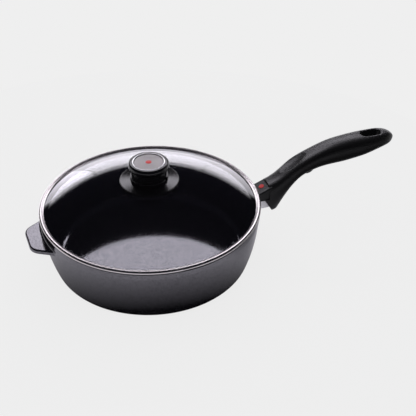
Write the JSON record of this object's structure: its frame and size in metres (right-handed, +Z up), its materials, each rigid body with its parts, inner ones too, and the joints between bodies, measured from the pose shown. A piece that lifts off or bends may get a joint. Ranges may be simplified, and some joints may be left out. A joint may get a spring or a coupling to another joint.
{
  "type": "saute pan with lid",
  "caption": "Deep round pan with curved walls, a cast helper ear, a long raised moulded handle with a hang slot, and a domed glass lid with a steel band and a turning steam knob.",
  "frame": {"origin": "centre of the pan's base, on the flat face that stands on the hob", "axes": "+Z up, +X along the long handle away from the pan, +Y to the left of the handle"},
  "size_m": [0.5089, 0.2848, 0.1466],
  "materials": {
    "pan_coating": "cast aluminium with a dark speckled non-stick coating, satin",
    "handle_black": "black phenolic moulding, satin",
    "knob_black": "black phenolic moulding, smooth",
    "badge_red": "red enamel",
    "rim_steel": "rolled stainless steel, polished",
    "steel_plain": "stainless steel",
    "bezel_chrome": "polished stainless steel",
    "disc_metal": "spun stainless steel, grey",
    "lid_glass": "clear tempered glass",
    "seal_rubber": "silicone seal"
  },
  "bodies": {
    "pan": {"pan_body": "pan_coating", "handle_grip": "handle_black", "handle_badge": "badge_red", "handle_screw": "steel_plain", "handle_washer": "steel_plain"},
    "lid": {"lid_glass": "lid_glass", "lid_rim": "rim_steel", "lid_gasket_top": "seal_rubber", "lid_gasket_bottom": "seal_rubber", "lid_washer": "steel_plain", "lid_nut": "steel_plain", "knob_base": "knob_black", "knob_bolt": "steel_plain", "knob_spring_washer": "steel_plain"},
    "knob": {"knob_grip": "knob_black", "knob_bezel": "bezel_chrome", "knob_disc": "disc_metal", "knob_dot": "badge_red"}
  },
  "joints": [
    {"name": "lid_lift", "type": "slide", "parent": "pan", "child": "lid", "axis": [0, 0, 1], "range_m": [0, 0.15]},
    {"name": "knob_turn", "type": "hinge", "parent": "lid", "child": "knob", "pos_m": [0, 0, 0.131], "axis": [0, 0, 1], "range_deg": [0, 90]}
  ]
}
